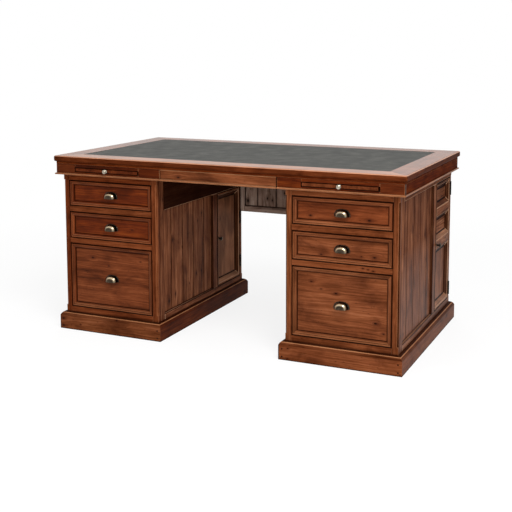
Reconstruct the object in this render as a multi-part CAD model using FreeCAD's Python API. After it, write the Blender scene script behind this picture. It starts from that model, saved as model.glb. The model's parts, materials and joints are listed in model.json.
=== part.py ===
import FreeCAD, Part
import os

# Partners desk in millimetres. +X runs along the width, -Y is the drawer front, +Z is up.
# The origin is at the bottom centre of the whole desk, with the slide knobs counted in.

# Overall desk
desk_width = 1600.0
desk_depth = 900.0
desk_height = 780.0

# Desk top: mitred border boards round a leather panel, on a thin sub top
top_thickness = 25.0
top_edge_radius = 7.0
top_corner_radius = 9.0
border_width = 94.0
leather_thickness = 1.6
leather_drop = 0.4
sub_top_thickness = 10.0

# Frieze below the top, with a small bead along its lower edge
frieze_inset = 10.0
frieze_height = 41.0
frieze_thickness = 20.0
bead_thickness = 7.0
bead_proud = 6.0
bead_lap = 4.0

# Centre drawer in the frieze, and the bay that it runs in
centre_front_inset = 30.0
centre_gap = 2.0
centre_box_length = 420.0
divider_thickness = 18.0
centre_runner_width = 14.0
centre_runner_height = 12.0
centre_headroom = 4.0

# Writing slides above each pedestal
slide_width = 316.3
slide_thickness = 18.0
slide_length = 430.0
slide_left_gap = 1.2
slide_right_gap = 4.5
slide_play = 0.75
slide_rise = 15.0
guide_ledge = 22.0
guide_wall = 14.0
guide_extra = 15.0

# Pedestals: a plinth round a framed case
plinth_inset = 10.0
plinth_width = 516.0
plinth_height = 77.0
plinth_thickness = 22.0
plinth_round = 17.0
plinth_round_bulge = 4.2
nail_radius = 3.2
nail_head = 0.5
nail_end_distance = 16.0
nail_edge_distance = 14.0
floor_gap = 3.0
frame_thickness = 20.0
front_stile = 27.0
corner_stile = 38.0
middle_stile = 45.0
rear_stile = 28.0
back_stile = 30.0
bottom_rail_show = 24.0
front_top_rail = 26.0
side_top_rail = 30.0
kneehole_top_rail = 140.0
front_bay_depth = 458.0
corner_chamfer = 6.0
chamfer_stop_low = 29.0
chamfer_stop_high = 25.0

# Tongue and groove boards that fill the frames
board_width = 101.0
board_thickness = 8.0
board_recess = 10.0
board_chamfer = 2.5

# Case boards inside each pedestal
case_board = 12.0
floor_board = 18.0
shelf_thickness = 15.0
cleat = 15.0
shelf_play = 1.5

# Drawer openings, from the top down; the file drawer takes what is left
upper_opening = 114.0
middle_opening = 118.0
upper_rail = 26.0
middle_rail = 24.0
drawer_rear_space = 32.5
front_gap = 1.5
front_back_board = 10.0
front_moulding = 22.0
front_moulding_flat = 7.0
front_moulding_height = 10.0
moulding_inner_edge = 1.5
box_side_gap = 2.0
box_board = 12.0
box_bottom = 6.0
box_bottom_rise = 6.0
upper_headroom = 14.0
file_headroom = 48.0
runner_width = 26.0
runner_height = 20.0
runner_guide_width = 7.0
runner_guide_height = 14.0
running_gap = 0.4

# Side doors at the rear of each pedestal
door_gap = 2.0
door_strip_width = 10.0
door_moulding = 20.0
door_recess = 13.0
door_rail = 38.0
knob_edge_distance = 19.0

# Butt hinges
hinge_height = 62.0
hinge_leaf_depth = 17.0
hinge_leaf_thickness = 0.9
knuckle_radius = 3.5
knuckle_count = 5
knuckle_gap = 0.3
knuckle_stand_off = 0.4
pin_radius = 1.5
pin_clearance = 0.05
outer_hinge_low = 48.0
outer_hinge_high = 50.0
kneehole_hinge_low = 76.0
kneehole_hinge_high = 153.0

# Cup pulls
pull_half_width = 30.0
pull_reach = 25.0
pull_wall = 1.8
pull_flange = 3.5
pull_flange_thickness = 1.6
pull_drop = 14.0

# Round knobs on the slides and the doors
knob_length = 20.0
knob_radius = 9.5
knob_foot_radius = 6.5
knob_neck_radius = 4.0
knob_foot = 1.8
knob_under = 3.4
knob_rim = 1.6
knob_crown = 5.0

# Modesty panel across the back of the kneehole
modesty_drop = 267.0
modesty_thickness = 18.0
modesty_stile = 24.0
modesty_rail = 28.0
modesty_recess = 5.0

# How far a cutting shape reaches past the piece that it cuts
cut_over = 1.0

# Places that follow from the sizes
half_width = desk_width / 2
y_shift = max(0.0, knob_length - frieze_inset) / 2
top_front = y_shift - desk_depth / 2
top_back = y_shift + desk_depth / 2
top_bottom = desk_height - top_thickness
frieze_top = top_bottom - sub_top_thickness
frieze_x = half_width - frieze_inset
frieze_front = top_front + frieze_inset
frieze_back = top_back - frieze_inset
frieze_low = frieze_top - frieze_height
frieze_front_inner = frieze_front + frieze_thickness
frieze_back_inner = frieze_back - frieze_thickness
case_top = frieze_low - bead_thickness
plinth_x = half_width - plinth_inset
plinth_front = top_front + plinth_inset
plinth_back = top_back - plinth_inset
outer_x = plinth_x - plinth_thickness
inner_x = plinth_x - plinth_width + plinth_thickness
case_front = plinth_front + plinth_thickness
case_back = plinth_back - plinth_thickness
bead_front = frieze_front - bead_proud
bead_back = frieze_back + bead_proud
bead_x = frieze_x + bead_proud
bead_depth = case_front + bead_lap - bead_front
case_centre = (outer_x + inner_x) / 2
inside_outer_x = outer_x - frame_thickness
inside_inner_x = inner_x + frame_thickness
inside_front = case_front + frame_thickness
inside_back = case_back - frame_thickness
bottom_rail_top = plinth_height + bottom_rail_show
bay_front = inside_front + corner_stile
middle_front = bay_front + front_bay_depth
middle_back = middle_front + middle_stile
bay_back = case_back - rear_stile
partition_front = middle_front + (middle_stile - case_board) / 2
partition_back = partition_front + case_board
drawer_face = case_front + front_moulding_height
drawer_box_front = drawer_face + front_back_board
drawer_length = partition_front - drawer_rear_space - drawer_box_front
case_lid_bottom = case_top - case_board
shelf_low = (bottom_rail_top + case_lid_bottom) / 2
opening_half = (outer_x - inner_x) / 2 - front_stile
upper_top = case_top - front_top_rail
upper_bottom = upper_top - upper_opening
middle_top = upper_bottom - upper_rail
middle_bottom = middle_top - middle_opening
file_top = middle_bottom - middle_rail
drawer_openings = {
    "upper": (upper_bottom, upper_top, upper_headroom),
    "middle": (middle_bottom, middle_top, upper_headroom),
    "file": (bottom_rail_top, file_top, file_headroom),
}
door_front = middle_back + door_gap
door_back = bay_back - door_gap
door_bottom = bottom_rail_top + door_gap
outer_door_top = case_top - side_top_rail - door_gap
kneehole_door_top = case_top - kneehole_top_rail - door_gap
hinge_y = door_back + door_gap / 2
hinge_out = knuckle_stand_off + knuckle_radius
centre_front_half = inner_x - centre_front_inset
divider_x = centre_front_half + centre_gap
slot_width = slide_left_gap + slide_width + slide_right_gap
slot_low = case_top + slide_rise
slot_high = slot_low + slide_thickness + 2 * slide_play
sides = {"left": -1.0, "right": 1.0}
nodes = {}


def box(x0, x1, y0, y1, z0, z1):
    corner = FreeCAD.Vector(min(x0, x1), min(y0, y1), min(z0, z1))
    return Part.makeBox(abs(x1 - x0), abs(y1 - y0), abs(z1 - z0), corner)


def face_placement(origin, normal):
    # Local u runs to the right along a vertical face, v up it and w out of it.
    up = FreeCAD.Vector(0, 0, 1)
    out = FreeCAD.Vector(*normal)
    along = up.cross(out)
    place = FreeCAD.Matrix(
        along.x, up.x, out.x, origin[0],
        along.y, up.y, out.y, origin[1],
        along.z, up.z, out.z, origin[2],
        0, 0, 0, 1)
    return FreeCAD.Placement(place)


def placed(solids, origin, normal):
    place = face_placement(origin, normal)
    moved = []
    for solid in solids:
        copy = solid.copy()
        copy.Placement = place.multiply(copy.Placement)
        moved.append(copy)
    return moved


def prism(outline, direction):
    points = [FreeCAD.Vector(*point) for point in outline]
    face = Part.Face(Part.makePolygon(points + points[:1]))
    return face.extrude(FreeCAD.Vector(*direction))


def solid_between(start, end):
    # A closed solid between two outlines with the same number of corners.
    faces = [Part.Face(Part.makePolygon(start + start[:1]))]
    faces.append(Part.Face(Part.makePolygon(end + end[:1])))
    for k in range(len(start)):
        j = (k + 1) % len(start)
        faces.append(Part.Face(Part.makePolygon([start[k], start[j], end[j], end[k], start[k]])))
    solid = Part.Solid(Part.Shell(faces))
    if solid.Volume < 0:
        solid.reverse()
    return solid


def mitred_ring(u0, u1, v0, v1, section):
    # Four mitred bars round a rectangle; section holds (inset from the edge, height above w = 0).
    def outline(right, top):
        points = []
        for inset, out in section:
            u = u1 - inset if right else u0 + inset
            v = v1 - inset if top else v0 + inset
            points.append(FreeCAD.Vector(u, v, out))
        return points

    corners = [(False, False), (True, False), (True, True), (False, True)]
    return [solid_between(outline(*corners[k]), outline(*corners[(k + 1) % 4])) for k in range(4)]


def mitred_bar(section_face, length, depth, height, mitre_start, mitre_end):
    # A section in the (w, v) plane at u = 0, run along u, with 45 degree ends towards the inside.
    bar = section_face.extrude(FreeCAD.Vector(length, 0, 0))
    over = cut_over
    reach = depth + over
    tall = (0, height + 2 * over, 0)
    if mitre_start:
        bar = bar.cut(prism([(-over, -over, over), (-over, -over, -reach), (reach, -over, -reach)], tall))
    if mitre_end:
        corners = [(length + over, -over, over), (length + over, -over, -reach),
                   (length - reach, -over, -reach)]
        bar = bar.cut(prism(corners, tall))
    return bar.Solids[0]


def vertical_boards(u0, u1, v0, v1, face, thickness):
    # Whole boards in the middle of the opening and two equal narrower ones at its sides.
    whole = max(1, int((u1 - u0) / board_width) - 1)
    side_width = (u1 - u0 - whole * board_width) / 2
    edges = [u0] + [u0 + side_width + k * board_width for k in range(whole + 1)] + [u1]
    boards = []
    for start, end in zip(edges[:-1], edges[1:]):
        c = board_chamfer
        outline = [(start, v0, face - thickness), (end, v0, face - thickness), (end, v0, face - c),
                   (end - c, v0, face), (start + c, v0, face), (start, v0, face - c)]
        boards.append(prism(outline, (0, v1 - v0, 0)))
    return boards


def chamfered_post(x0, x1, y0, y1, corner_x, corner_y):
    # A full height post with a stopped chamfer on the outside corner of the case.
    post = box(x0, x1, y0, y1, floor_gap, case_top)
    inward_x = 1.0 if (x0 + x1) / 2 > corner_x else -1.0
    inward_y = 1.0 if (y0 + y1) / 2 > corner_y else -1.0
    low = plinth_height + chamfer_stop_low
    high = case_top - chamfer_stop_high
    over = cut_over
    reach = corner_chamfer + over
    triangle = [(corner_x - inward_x * over, corner_y - inward_y * over, low),
                (corner_x + inward_x * reach, corner_y - inward_y * over, low),
                (corner_x - inward_x * over, corner_y + inward_y * reach, low)]
    return post.cut(prism(triangle, (0, 0, high - low))).Solids[0]


def add(name, solids):
    nodes[name] = solids


def make_top():
    height = top_thickness
    slab = box(-half_width, half_width, top_front, top_back, top_bottom, desk_height)
    upright = [edge for edge in slab.Edges if abs(edge.Vertexes[0].Z - edge.Vertexes[1].Z) > height / 2]
    slab = slab.makeFillet(top_corner_radius, upright)
    level = [edge for edge in slab.Edges if edge.BoundBox.ZLength < height / 2]
    slab = slab.makeFillet(top_edge_radius, level)
    x_in = half_width - border_width
    y_in_front = top_front + border_width
    y_in_back = top_back - border_width
    low = top_bottom - cut_over
    tall = (0, 0, height + 2 * cut_over)
    ring = slab.cut(box(-x_in, x_in, y_in_front, y_in_back, low, desk_height + cut_over))
    front_wedge = [(-half_width, top_front, low), (half_width, top_front, low),
                   (x_in, y_in_front, low), (-x_in, y_in_front, low)]
    back_wedge = [(-half_width, top_back, low), (half_width, top_back, low),
                  (x_in, y_in_back, low), (-x_in, y_in_back, low)]
    front_board = ring.common(prism(front_wedge, tall))
    back_board = ring.common(prism(back_wedge, tall))
    rest = ring.cut(front_board).cut(back_board)
    side_boards = sorted(rest.Solids, key=lambda solid: solid.CenterOfMass.x)
    add("top_border", [front_board.Solids[0], back_board.Solids[0]] + side_boards)
    leather_top = desk_height - leather_drop
    core_top = leather_top - leather_thickness
    add("top_core", [box(-x_in, x_in, y_in_front, y_in_back, top_bottom, core_top)])
    add("leather_panel", [box(-x_in, x_in, y_in_front, y_in_back, core_top, leather_top)])
    add("sub_top", [box(-frieze_x, frieze_x, frieze_front, frieze_back, frieze_top, top_bottom)])


def make_frieze():
    rear_face = frieze_front_inner
    for name, side in sides.items():
        outer = side * frieze_x
        inner = side * divider_x
        slot_outer = side * (case_centre + slot_width / 2)
        slot_inner = side * (case_centre - slot_width / 2)
        add("frieze_front_" + name, [
            box(outer, slot_outer, frieze_front, rear_face, frieze_low, frieze_top),
            box(slot_inner, inner, frieze_front, rear_face, frieze_low, frieze_top),
            box(slot_outer, slot_inner, frieze_front, rear_face, frieze_low, slot_low),
            box(slot_outer, slot_inner, frieze_front, rear_face, slot_high, frieze_top)])
    side_inner = frieze_x - frieze_thickness
    add("frieze_surround", [
        box(-frieze_x, frieze_x, frieze_back_inner, frieze_back, frieze_low, frieze_top),
        box(-frieze_x, -side_inner, rear_face, frieze_back_inner, frieze_low, frieze_top),
        box(side_inner, frieze_x, rear_face, frieze_back_inner, frieze_low, frieze_top)])
    make_bead()


def bead_face(depth):
    # Flat strip with a half round nose, in the (w, v) plane.
    nose = bead_thickness / 2
    arc = Part.Arc(FreeCAD.Vector(0, 0, -nose), FreeCAD.Vector(0, nose, 0),
                   FreeCAD.Vector(0, bead_thickness, -nose))
    corners = [FreeCAD.Vector(0, bead_thickness, -nose), FreeCAD.Vector(0, bead_thickness, -depth),
               FreeCAD.Vector(0, 0, -depth), FreeCAD.Vector(0, 0, -nose)]
    edges = [arc.toShape()] + [Part.makeLine(a, b) for a, b in zip(corners[:-1], corners[1:])]
    return Part.Face(Part.Wire(edges))


def make_bead():
    section = bead_face(bead_depth)
    long_side = bead_back - bead_front
    front_run = bead_x - divider_x

    def bar(length, start, end):
        return mitred_bar(section, length, bead_depth, bead_thickness, start, end)

    solids = placed([bar(front_run, True, False)], (-bead_x, bead_front, case_top), (0, -1, 0))
    solids += placed([bar(front_run, False, True)], (divider_x, bead_front, case_top), (0, -1, 0))
    solids += placed([bar(long_side, True, True)], (bead_x, bead_front, case_top), (1, 0, 0))
    solids += placed([bar(2 * bead_x, True, True)], (bead_x, bead_back, case_top), (0, 1, 0))
    solids += placed([bar(long_side, True, True)], (-bead_x, bead_back, case_top), (-1, 0, 0))
    add("frieze_bead", solids)


def make_top_bays():
    # The dividers rest on the bead at both ends; the slide guides stand on the case behind it.
    rear_face = frieze_front_inner
    guide_front = bead_front + bead_depth
    guide_back = frieze_front + slide_length + guide_extra
    rails = []
    guides = []
    for side in sides.values():
        near = side * divider_x
        rails.append(box(near, side * (divider_x + divider_thickness), rear_face, frieze_back_inner,
                         frieze_low, frieze_top))
        rails.append(box(near, side * (divider_x - centre_runner_width), rear_face,
                         rear_face + centre_box_length, case_top, case_top + centre_runner_height))
        for end in (-1.0, 1.0):
            edge = side * case_centre + end * slot_width / 2
            guides.append(box(edge, edge - end * guide_ledge, guide_front, guide_back, case_top,
                              slot_low + slide_play - running_gap))
            guides.append(box(edge, edge + end * guide_wall, guide_front, guide_back, case_top,
                              frieze_top))
    add("centre_drawer_rails", rails)
    add("slide_guides", guides)


def make_modesty_panel():
    low = case_top - modesty_drop
    rear = case_back
    front = case_back - modesty_thickness
    stile_x = inner_x - modesty_stile
    rail_low = low + modesty_rail
    rail_high = case_top - modesty_rail
    solids = [
        box(-inner_x, -stile_x, front, rear, low, case_top),
        box(stile_x, inner_x, front, rear, low, case_top),
        box(-stile_x, stile_x, front, rear, low, rail_low),
        box(-stile_x, stile_x, front, rear, rail_high, case_top)]
    boards = vertical_boards(-stile_x, stile_x, rail_low, rail_high, 0.0, board_thickness)
    solids += placed(boards, (0, front + modesty_recess, 0), (0, -1, 0))
    add("modesty_panel", solids)


def plinth_face():
    # Flat face, then a rounded top edge, in the (w, v) plane.
    shoulder = plinth_height - plinth_round
    start = FreeCAD.Vector(0, shoulder, 0)
    end = FreeCAD.Vector(0, plinth_height, -plinth_round)
    bulge = (plinth_round_bulge + plinth_round) / 2
    middle = FreeCAD.Vector(0, shoulder + bulge, bulge - plinth_round)
    corners = [end, FreeCAD.Vector(0, plinth_height, -plinth_thickness),
               FreeCAD.Vector(0, 0, -plinth_thickness), FreeCAD.Vector(0, 0, 0), start]
    edges = [Part.Arc(start, middle, end).toShape()]
    edges += [Part.makeLine(a, b) for a, b in zip(corners[:-1], corners[1:])]
    return Part.Face(Part.Wire(edges))


def make_plinth(name, side):
    section = plinth_face()
    x_low = min(side * plinth_x, side * (plinth_x - plinth_width))
    x_high = x_low + plinth_width
    depth = plinth_back - plinth_front

    def bar(length):
        return mitred_bar(section, length, plinth_thickness, plinth_height, True, True)

    solids = placed([bar(plinth_width)], (x_low, plinth_front, 0), (0, -1, 0))
    solids += placed([bar(depth)], (x_high, plinth_front, 0), (1, 0, 0))
    solids += placed([bar(plinth_width)], (x_high, plinth_back, 0), (0, 1, 0))
    solids += placed([bar(depth)], (x_low, plinth_back, 0), (-1, 0, 0))
    add(name + "_plinth", solids)
    heads = []
    for x in (x_low + nail_end_distance, x_high - nail_end_distance):
        for z in (nail_edge_distance, plinth_height - plinth_round - nail_edge_distance):
            front_spot = FreeCAD.Vector(x, plinth_front - nail_head, z)
            back_spot = FreeCAD.Vector(x, plinth_back, z)
            outward = FreeCAD.Vector(0, 1, 0)
            heads.append(Part.makeCylinder(nail_radius, nail_head, front_spot, outward))
            heads.append(Part.makeCylinder(nail_radius, nail_head, back_spot, outward))
    return heads


def make_face_frame(name, side):
    outer = side * outer_x
    inner = side * inner_x
    open_outer = side * (case_centre + opening_half)
    open_inner = side * (case_centre - opening_half)
    solids = [
        chamfered_post(outer, open_outer, case_front, inside_front, outer, case_front),
        chamfered_post(inner, open_inner, case_front, inside_front, inner, case_front)]
    levels = [(floor_gap, bottom_rail_top), (file_top, middle_bottom), (middle_top, upper_bottom),
              (upper_top, case_top)]
    for low, high in levels:
        solids.append(box(open_outer, open_inner, case_front, inside_front, low, high))
    add(name + "_face_frame", solids)


def make_side(name, side, which, has_door):
    # A side frame of three stiles and two rails, with boards in its bays.
    face = side * (outer_x if which == "outer" else inner_x)
    out = side if which == "outer" else -side
    back = face - out * frame_thickness
    top_rail = side_top_rail if which == "outer" else kneehole_top_rail
    rail_low = case_top - top_rail
    solids = [
        box(face, back, inside_front, bay_front, floor_gap, case_top),
        chamfered_post(face, back, bay_back, case_back, face, case_back),
        box(face, back, bay_front, bay_back, floor_gap, bottom_rail_top),
        box(face, back, bay_front, bay_back, rail_low, case_top),
        box(face, back, middle_front, middle_back, bottom_rail_top, rail_low)]
    add(name + "_" + which + "_frame", solids)
    bays = [(bay_front, middle_front)]
    if not has_door:
        bays.append((middle_back, bay_back))
    boards = []
    for start, end in bays:
        u0, u1 = (start, end) if out > 0 else (-end, -start)
        boards += vertical_boards(u0, u1, bottom_rail_top, rail_low, 0.0, board_thickness)
    return placed(boards, (face - out * board_recess, 0, 0), (out, 0, 0))


def make_back(name, side):
    outer = side * inside_outer_x
    inner = side * inside_inner_x
    stile_outer = side * (inside_outer_x - back_stile)
    stile_inner = side * (inside_inner_x + back_stile)
    rail_low = case_top - side_top_rail
    solids = [
        box(outer, stile_outer, inside_back, case_back, floor_gap, case_top),
        box(inner, stile_inner, inside_back, case_back, floor_gap, case_top),
        box(stile_outer, stile_inner, inside_back, case_back, floor_gap, bottom_rail_top),
        box(stile_outer, stile_inner, inside_back, case_back, rail_low, case_top)]
    add(name + "_back_frame", solids)
    u0 = -max(stile_outer, stile_inner)
    u1 = -min(stile_outer, stile_inner)
    boards = vertical_boards(u0, u1, bottom_rail_top, rail_low, 0.0, board_thickness)
    return placed(boards, (0, case_back - board_recess, 0), (0, 1, 0))


def make_case(name, side):
    outer = side * inside_outer_x
    inner = side * inside_inner_x
    shelf_high = shelf_low + shelf_thickness
    play = side * shelf_play
    add(name + "_case_boards", [
        box(outer, inner, inside_front, inside_back, bottom_rail_top - floor_board, bottom_rail_top),
        box(outer, inner, inside_front, inside_back, case_lid_bottom, case_top),
        box(outer, inner, partition_front, partition_back, bottom_rail_top, case_lid_bottom),
        box(outer - play, inner + play, partition_back, inside_back, shelf_low, shelf_high),
        box(outer - play, inner + play, partition_back, partition_back + cleat, shelf_low - cleat,
            shelf_low),
        box(outer - play, inner + play, inside_back - cleat, inside_back, shelf_low - cleat,
            shelf_low)])
    runners = []
    for wall, towards in ((outer, -side), (inner, side)):
        for top in (upper_bottom, middle_bottom):
            runners.append(box(wall, wall + towards * runner_width, inside_front, partition_front,
                               top - runner_height, top))
            runners.append(box(wall, wall + towards * runner_guide_width, inside_front,
                               partition_front, top, top + runner_guide_height))
    add(name + "_drawer_runners", runners)


def make_drawer(name, side, level):
    low, high, headroom = drawer_openings[level]
    centre = side * case_centre
    front_half = opening_half - front_gap
    section = [(0, 0), (moulding_inner_edge, front_moulding_height),
               (front_moulding_flat, front_moulding_height),
               (front_moulding, moulding_inner_edge), (front_moulding, 0)]
    ring = mitred_ring(-front_half, front_half, low + front_gap, high - front_gap, section)
    front = [box(centre - front_half, centre + front_half, drawer_face, drawer_box_front,
                 low + front_gap, high - front_gap)]
    front += placed(ring, (centre, drawer_face, 0), (0, -1, 0))
    label = name + "_" + level + "_drawer"
    add(label + "_front", front)
    half = opening_half - box_side_gap
    add(label + "_box", drawer_box(centre, half, drawer_box_front, drawer_length, low + running_gap,
                                   high - headroom))
    add(label + "_pull", cup_pull(centre, drawer_face, (low + high) / 2 - pull_drop))


def drawer_box(centre, half, front, length, low, high):
    # Two sides with a front and back between them, and a bottom let in above their lower edge.
    wall = box_board
    back = front + length
    bottom_low = low + box_bottom_rise
    bottom_high = bottom_low + box_bottom
    left = centre - half
    right = centre + half
    return [
        box(left, left + wall, front, back, low, high),
        box(right - wall, right, front, back, low, high),
        box(left + wall, right - wall, front, front + wall, low, high),
        box(left + wall, right - wall, back - wall, back, low, high),
        box(left + wall, right - wall, front + wall, back - wall, bottom_low, bottom_high)]


def cup_arc(half_width_here, reach):
    ends = [FreeCAD.Vector(-half_width_here, 0, 0), FreeCAD.Vector(half_width_here, 0, 0)]
    arc = Part.Arc(ends[0], FreeCAD.Vector(0, 0, reach), ends[1]).toShape()
    return Part.Face(Part.Wire([arc, Part.makeLine(ends[1], ends[0])]))


def cup_pull(centre, face, base):
    # A quarter turned dome, open below, on a thin flange that lies on the drawer front.
    axis = FreeCAD.Vector(1, 0, 0)
    origin = FreeCAD.Vector(0, 0, 0)
    outside = cup_arc(pull_half_width, pull_reach).revolve(origin, axis, 90)
    inside_half = pull_half_width - pull_wall
    inside = cup_arc(inside_half, pull_reach - pull_wall).revolve(origin, axis, 360)
    flange_shape = cup_arc(pull_half_width + pull_flange, pull_reach + pull_flange)
    flange = flange_shape.extrude(FreeCAD.Vector(0, -pull_flange_thickness, 0))
    pull = outside.fuse(flange).cut(inside).removeSplitter().Solids[0]
    pull.translate(FreeCAD.Vector(centre, face, base))
    return [pull]


def knob_solid():
    # Turned knob with its foot at h = 0, along +Z: foot, neck, rim and a round crown.
    rim_high = knob_length - knob_crown
    rim_low = rim_high - knob_rim
    neck_top = rim_low - knob_under
    corners = [(0, 0), (knob_foot_radius, 0), (knob_foot_radius, knob_foot),
               (knob_neck_radius, 2 * knob_foot), (knob_neck_radius, neck_top),
               (knob_radius, rim_low), (knob_radius, rim_high)]
    points = [FreeCAD.Vector(r, 0, h) for r, h in corners]
    edges = [Part.makeLine(a, b) for a, b in zip(points[:-1], points[1:])]
    crown_radius = (knob_radius ** 2 + knob_crown ** 2) / (2 * knob_crown)
    half = knob_radius / 2
    rise = (crown_radius ** 2 - half ** 2) ** 0.5
    middle = FreeCAD.Vector(half, 0, knob_length - crown_radius + rise)
    apex = FreeCAD.Vector(0, 0, knob_length)
    edges.append(Part.Arc(points[-1], middle, apex).toShape())
    edges.append(Part.makeLine(apex, points[0]))
    return Part.Face(Part.Wire(edges)).revolve(FreeCAD.Vector(0, 0, 0), FreeCAD.Vector(0, 0, 1), 360)


def make_centre_drawer():
    # The drawer front carries its own length of the bead, as deep as the front board.
    half = centre_front_half
    rear_face = frieze_front_inner
    bead = bead_face(bead_proud + frieze_thickness).extrude(FreeCAD.Vector(2 * half, 0, 0))
    front = [box(-half, half, frieze_front, rear_face, frieze_low, frieze_top - centre_gap / 2)]
    front += placed([bead], (-half, bead_front, case_top), (0, -1, 0))
    add("centre_drawer_front", front)
    low = case_top + centre_runner_height + running_gap
    add("centre_drawer_box", drawer_box(0.0, half - centre_gap / 2, rear_face, centre_box_length, low,
                                        frieze_top - centre_headroom))


def make_slides():
    for name, side in sides.items():
        left = side * case_centre - slot_width / 2 + slide_left_gap
        centre = left + slide_width / 2
        low = slot_low + slide_play
        add(name + "_writing_slide", [
            box(left, left + slide_width, frieze_front, frieze_front + slide_length, low,
                low + slide_thickness)])
        middle = low + slide_thickness / 2
        add(name + "_slide_knob", placed([knob_solid()], (centre, frieze_front, middle), (0, -1, 0)))


def make_door(name, face, out, top, rails, hinge_heights, knob_height, knob_in):
    # Door in its own plane: u runs towards the back when it faces +X.
    u0, u1 = (door_front, door_back) if out > 0 else (-door_back, -door_front)
    s0 = u0 + door_strip_width
    s1 = u1 - door_strip_width
    thick = frame_thickness
    levels = [(door_bottom, door_bottom + door_strip_width)]
    levels += [(high - door_rail, high) for high in rails]
    levels.append((top - door_strip_width, top))
    frame = [box(u0, s0, door_bottom, top, -thick, 0), box(s1, u1, door_bottom, top, -thick, 0)]
    frame += [box(s0, s1, low, high, -thick, 0) for low, high in levels]
    section = [(0, -thick), (0, 0), (door_moulding, -door_recess), (door_moulding, -thick)]
    inset = door_moulding
    for (_, low), (high, _) in zip(levels[:-1], levels[1:]):
        frame += mitred_ring(s0, s1, low, high, section)
        frame.append(box(s0 + inset, s1 - inset, low + inset, high - inset, -thick, -door_recess))
    add(name + "_door", placed(frame, (face, 0, 0), (out, 0, 0)))
    knob_u = u0 + knob_edge_distance + knob_in if out > 0 else u1 - knob_edge_distance - knob_in
    seat = -door_recess if knob_in else 0.0
    knob = knob_solid()
    knob.translate(FreeCAD.Vector(knob_u, knob_height, seat))
    add(name + "_door_knob", placed([knob], (face, 0, 0), (out, 0, 0)))
    fixed = []
    moving = []
    pins = []
    for height in hinge_heights:
        parts = hinge(face, out, height)
        fixed.append(parts[0])
        moving.append(parts[1])
        pins.append(parts[2])
    add(name + "_door_hinge_leaves", moving)
    return fixed, pins


def hinge(face, out, middle):
    # One butt hinge: fixed leaf on the rear stile, moving leaf on the door edge, and its pin.
    axis_x = face + out * hinge_out
    low = middle - hinge_height / 2
    step = hinge_height / knuckle_count
    leaf_x = face - out * hinge_leaf_depth
    t = hinge_leaf_thickness
    fixed = box(leaf_x, face, bay_back - t, bay_back, low, low + hinge_height)
    moving = box(leaf_x, face, door_back, door_back + t, low, low + hinge_height)
    up = FreeCAD.Vector(0, 0, 1)
    for k in range(knuckle_count):
        z0 = low + k * step + knuckle_gap / 2
        z1 = low + (k + 1) * step - knuckle_gap / 2
        barrel = Part.makeCylinder(knuckle_radius, z1 - z0, FreeCAD.Vector(axis_x, hinge_y, z0), up)
        if k % 2 == 0:
            neck = box(face, axis_x, bay_back - t, bay_back, z0, z1)
            fixed = fixed.fuse([barrel, neck])
        else:
            neck = box(face, axis_x, door_back, door_back + t, z0, z1)
            moving = moving.fuse([barrel, neck])
    bore_radius = pin_radius + pin_clearance
    bore = Part.makeCylinder(bore_radius, hinge_height + 2 * cut_over,
                             FreeCAD.Vector(axis_x, hinge_y, low - cut_over), up)
    pin = Part.makeCylinder(pin_radius, hinge_height, FreeCAD.Vector(axis_x, hinge_y, low), up)
    fixed = fixed.cut(bore).removeSplitter().Solids[0]
    moving = moving.cut(bore).removeSplitter().Solids[0]
    return fixed, moving, pin


def make_pedestals():
    heads = []
    doors = {"left": "kneehole", "right": "outer"}
    for name, side in sides.items():
        heads += make_plinth(name, side)
        make_face_frame(name, side)
        boards = []
        for which in ("outer", "kneehole"):
            boards += make_side(name, side, which, doors[name] == which)
        boards += make_back(name, side)
        add(name + "_panel_boards", boards)
        make_case(name, side)
        for level in drawer_openings:
            make_drawer(name, side, level)
    add("plinth_nails", heads)


def make_doors():
    left_heights = (door_bottom + kneehole_hinge_low, kneehole_door_top - kneehole_hinge_high)
    right_heights = (door_bottom + outer_hinge_low, outer_door_top - outer_hinge_high)
    left_knob = (door_bottom + kneehole_door_top) / 2
    right_knob = middle_bottom - door_rail / 2
    rails = (middle_bottom, upper_bottom)
    knob_in = door_moulding
    fixed, pins = make_door("left", -inner_x, 1.0, kneehole_door_top, (), left_heights, left_knob,
                            knob_in)
    more_fixed, more_pins = make_door("right", outer_x, 1.0, outer_door_top, rails, right_heights,
                                      right_knob, 0.0)
    add("hinge_fixed_leaves", fixed + more_fixed)
    add("hinge_pins", pins + more_pins)


def write_nodes():
    os.makedirs("parts", exist_ok=True)
    for name, solids in nodes.items():
        shape = solids[0] if len(solids) == 1 else Part.makeCompound(solids)
        shape.exportStep("parts/" + name + ".step")
    print(len(nodes), "nodes,", sum(len(solids) for solids in nodes.values()), "solids")


make_top()
make_frieze()
make_top_bays()
make_modesty_panel()
make_pedestals()
make_doors()
make_centre_drawer()
make_slides()
write_nodes()
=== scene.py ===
import json
import math
import random

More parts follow.
